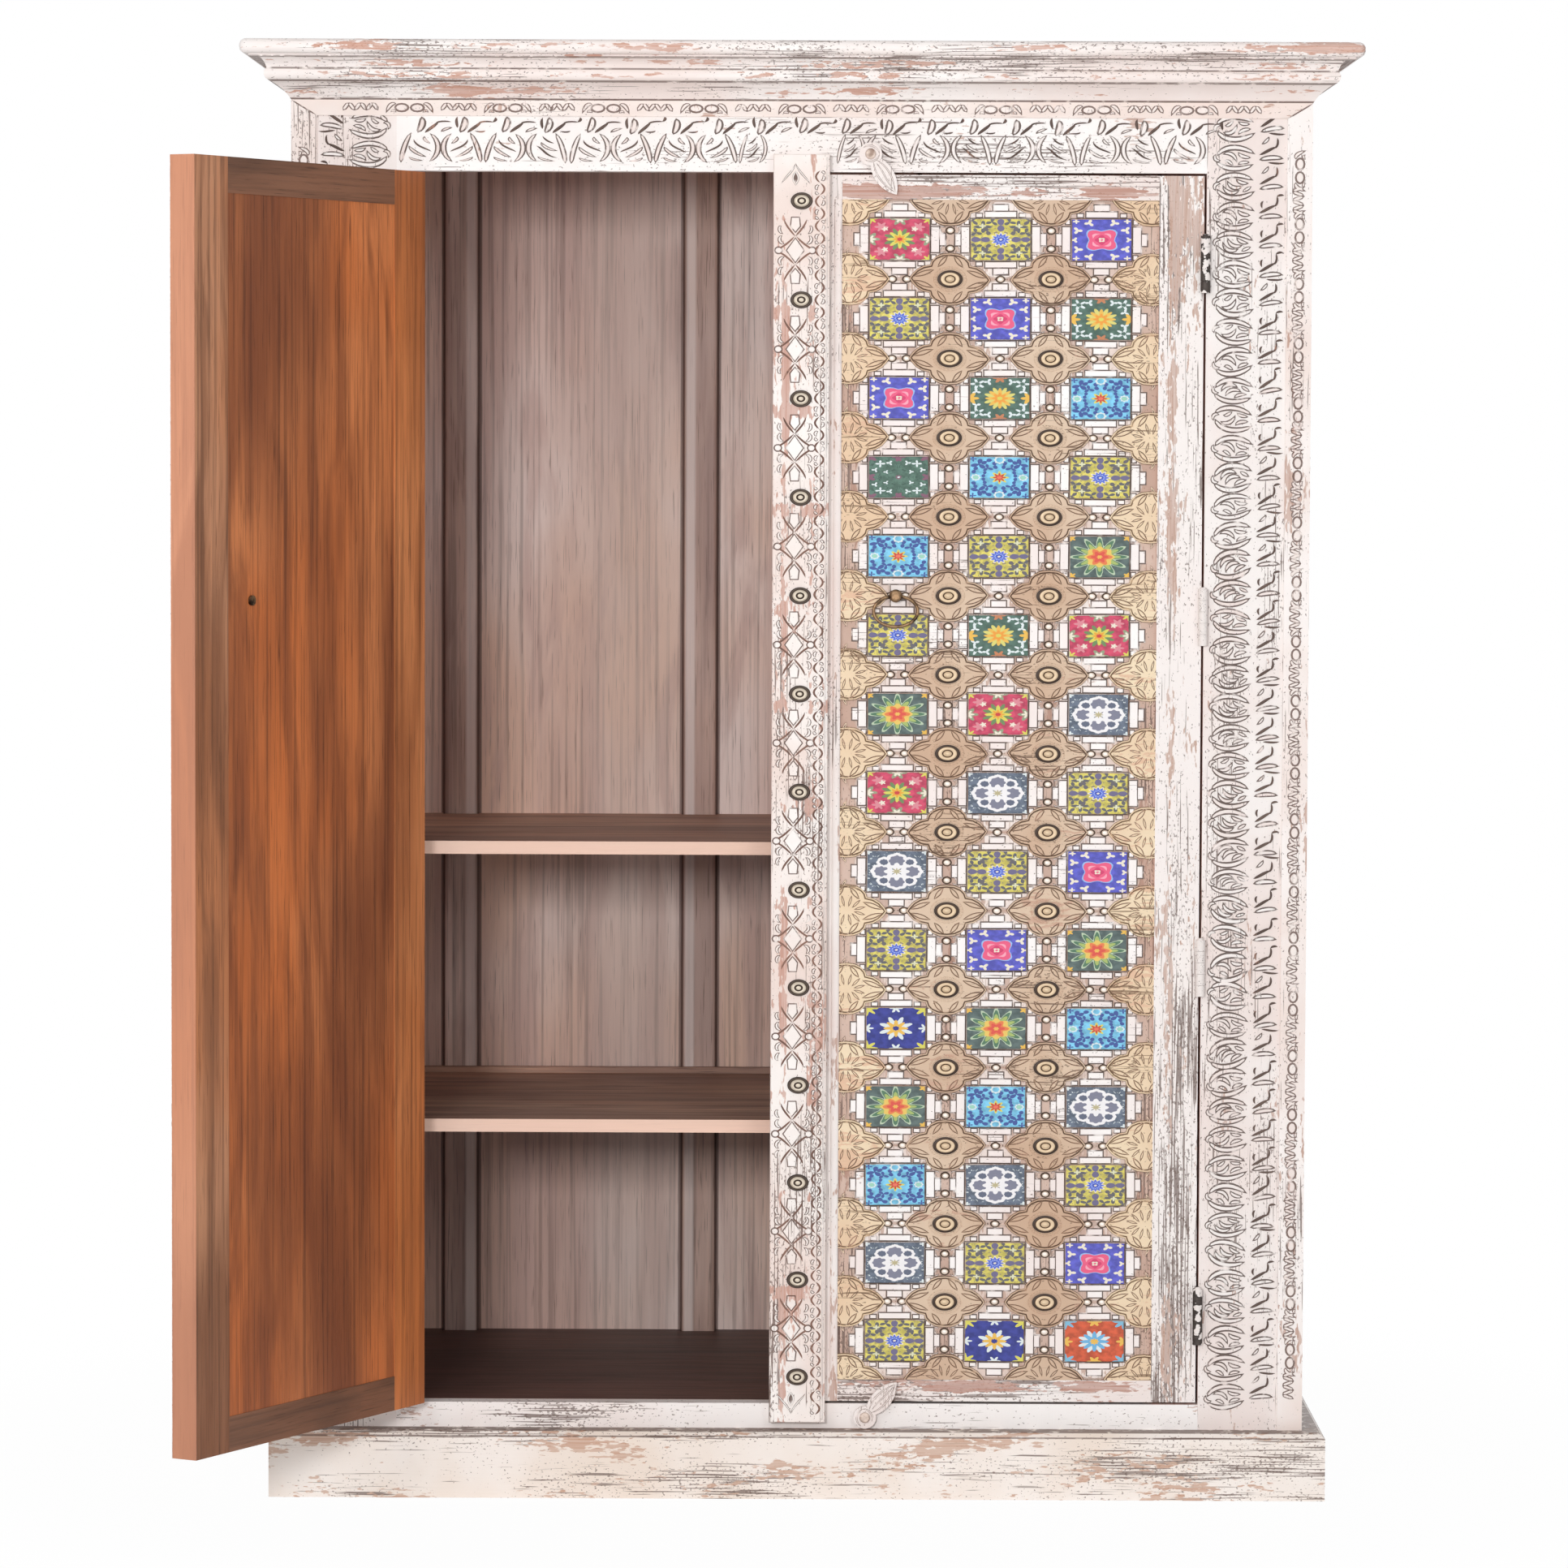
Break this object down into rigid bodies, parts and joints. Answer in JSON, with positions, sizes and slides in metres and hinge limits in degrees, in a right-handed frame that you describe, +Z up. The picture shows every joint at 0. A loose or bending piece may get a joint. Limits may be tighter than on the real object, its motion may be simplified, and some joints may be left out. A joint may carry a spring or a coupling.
{
  "type": "two-door cabinet",
  "caption": "Tall free-standing wooden cabinet with hinged doors of tiles and carved rosettes, shelves, a plinth, a crown, ring pulls and turn buttons.",
  "frame": {"origin": "on the floor under the middle of the carcass, on the underside of the plinth's middle bearer", "axes": "+X to the right seen from the front, +Y to the back, +Z up; the right door is shut and the left door stands open at rest"},
  "size_m": [1.4114, 1.0981, 1.79],
  "materials": {
    "white_painted_wood": "distressed white paint over brown wood",
    "door_wood": "distressed white paint outside, oiled brown wood inside",
    "brown_wood": "satin oiled",
    "carved_wood": "carved, waxed, with a white wash",
    "glazed_tile": "painted under a gloss glaze",
    "antique_brass": "aged and darkened in its hollows",
    "dark_iron": "dark, dull",
    "white_painted_metal": "worn white paint"
  },
  "bodies": {
    "cabinet": {"plinth_front": "white_painted_wood", "plinth_left": "white_painted_wood", "plinth_right": "white_painted_wood", "plinth_back": "brown_wood", "plinth_bearer": "brown_wood", "bottom_board": "brown_wood", "side_left": "white_painted_wood", "side_right": "white_painted_wood", "back_boards": "brown_wood", "back_battens": "brown_wood", "top_board": "brown_wood", "shelf_upper": "brown_wood", "shelf_lower": "brown_wood", "shelf_rear_strip": "brown_wood", "frame_stile_left": "white_painted_wood", "frame_stile_right": "white_painted_wood", "frame_top_rail": "white_painted_wood", "frame_bottom_rail": "white_painted_wood", "border_left": "white_painted_wood", "border_right": "white_painted_wood", "border_top": "white_painted_wood", "crown_front": "white_painted_wood", "crown_left": "white_painted_wood", "crown_right": "white_painted_wood", "crown_back": "brown_wood", "top_plank": "white_painted_wood", "frame_hinge_leaves_left": "dark_iron", "frame_hinge_leaves_right": "dark_iron", "hinge_pins_left": "dark_iron", "hinge_pins_right": "dark_iron", "button_pivots": "white_painted_metal"},
    "left_door": {"left_door_hinge_stile": "door_wood", "left_door_meeting_stile": "door_wood", "left_door_top_rail": "door_wood", "left_door_bottom_rail": "door_wood", "left_door_panel": "door_wood", "left_door_tiles": "glazed_tile", "left_door_rosettes": "carved_wood", "left_door_rosette_bosses": "antique_brass", "left_door_pull_bead": "antique_brass", "left_door_hinge_leaves": "dark_iron"},
    "right_door": {"right_door_hinge_stile": "door_wood", "right_door_meeting_stile": "door_wood", "right_door_top_rail": "door_wood", "right_door_bottom_rail": "door_wood", "right_door_panel": "door_wood", "right_door_tiles": "glazed_tile", "right_door_rosettes": "carved_wood", "right_door_rosette_bosses": "antique_brass", "right_door_pull_bead": "antique_brass", "right_door_hinge_leaves": "dark_iron", "right_door_cover_strip": "white_painted_wood", "right_door_strip_bosses": "antique_brass"},
    "left_ring": {"left_door_pull_ring": "antique_brass"},
    "right_ring": {"right_door_pull_ring": "antique_brass"},
    "top_button": {"top_turn_button": "white_painted_metal"},
    "bottom_button": {"bottom_turn_button": "white_painted_metal"}
  },
  "joints": [
    {"name": "left_door_hinge", "type": "hinge", "parent": "cabinet", "child": "left_door", "pos_m": [-0.4945, -0.327, 0.874], "axis": [0, 0, -1], "range_deg": [-119, 46]},
    {"name": "right_door_hinge", "type": "hinge", "parent": "cabinet", "child": "right_door", "pos_m": [0.4945, -0.327, 0.874], "axis": [0, 0, 1], "range_deg": [0, 165]},
    {"name": "left_ring_swing", "type": "hinge", "parent": "left_door", "child": "left_ring", "pos_m": [-0.67648, -0.65736, 1.115], "axis": [0.4848, 0.8746, 0], "range_deg": [0, 150]},
    {"name": "right_ring_swing", "type": "hinge", "parent": "right_door", "child": "right_ring", "pos_m": [0.11733, -0.326, 1.115], "axis": [-1, 0, 0], "range_deg": [0, 150]},
    {"name": "top_button_turn", "type": "hinge", "parent": "cabinet", "child": "top_button", "pos_m": [0.084, -0.327, 1.655], "axis": [0, -1, 0], "range_deg": [0, 80]},
    {"name": "bottom_button_turn", "type": "hinge", "parent": "cabinet", "child": "bottom_button", "pos_m": [0.084, -0.327, 0.099], "axis": [0, 1, 0], "range_deg": [0, 46]}
  ]
}
